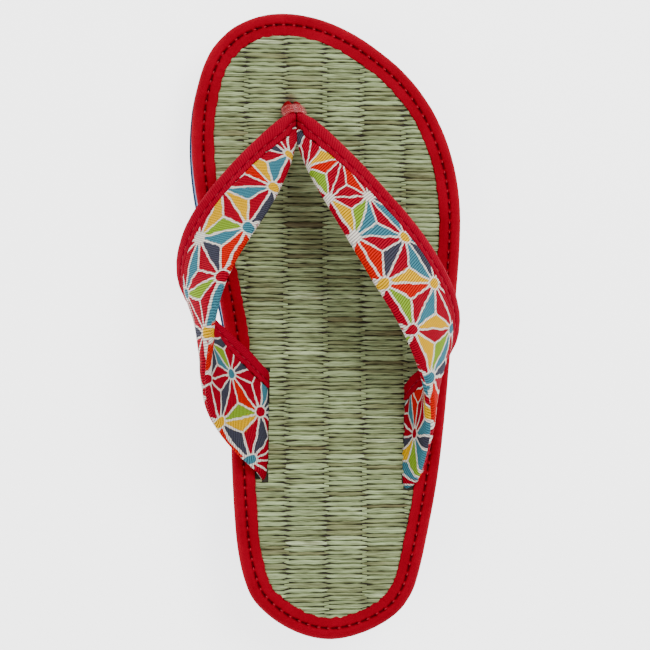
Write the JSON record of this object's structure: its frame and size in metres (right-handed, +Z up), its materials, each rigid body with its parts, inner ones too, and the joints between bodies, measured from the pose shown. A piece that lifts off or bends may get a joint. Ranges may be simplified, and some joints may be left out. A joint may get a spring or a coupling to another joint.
{
  "type": "zori sandal",
  "caption": "Right-foot zori sandal with a soft wedge sole, a rush mat bound in cloth tape, padded printed cloth straps and a sleeved toe thong.",
  "frame": {"origin": "on the ground, at the middle of the flat pad under the heel", "axes": "+X to the little-toe side, +Y to the toe tip, +Z up"},
  "size_m": [0.1104, 0.24, 0.0597],
  "materials": {
    "outsole_rubber": "matte dark blue foam rubber, fine grain",
    "sole_foam": "matte blue foam, fine closed cells",
    "rush_mat": "woven rush, green to straw, satin",
    "binding_cloth": "red cotton tape, plain weave, matte",
    "strap_cloth": "printed crepe cloth, matte, fine slanting ridges",
    "thong_cloth": "red cotton, matte",
    "clear_sleeve": "clear soft plastic, glossy"
  },
  "bodies": {
    "root": {"outsole": "outsole_rubber", "midsole": "sole_foam", "tatami_insole": "rush_mat", "edge_binding": "binding_cloth", "strap_upper": "strap_cloth", "strap_binding_medial": "binding_cloth", "strap_binding_lateral": "binding_cloth", "toe_post": "thong_cloth", "toe_sleeve": "clear_sleeve"}
  },
  "joints": []
}
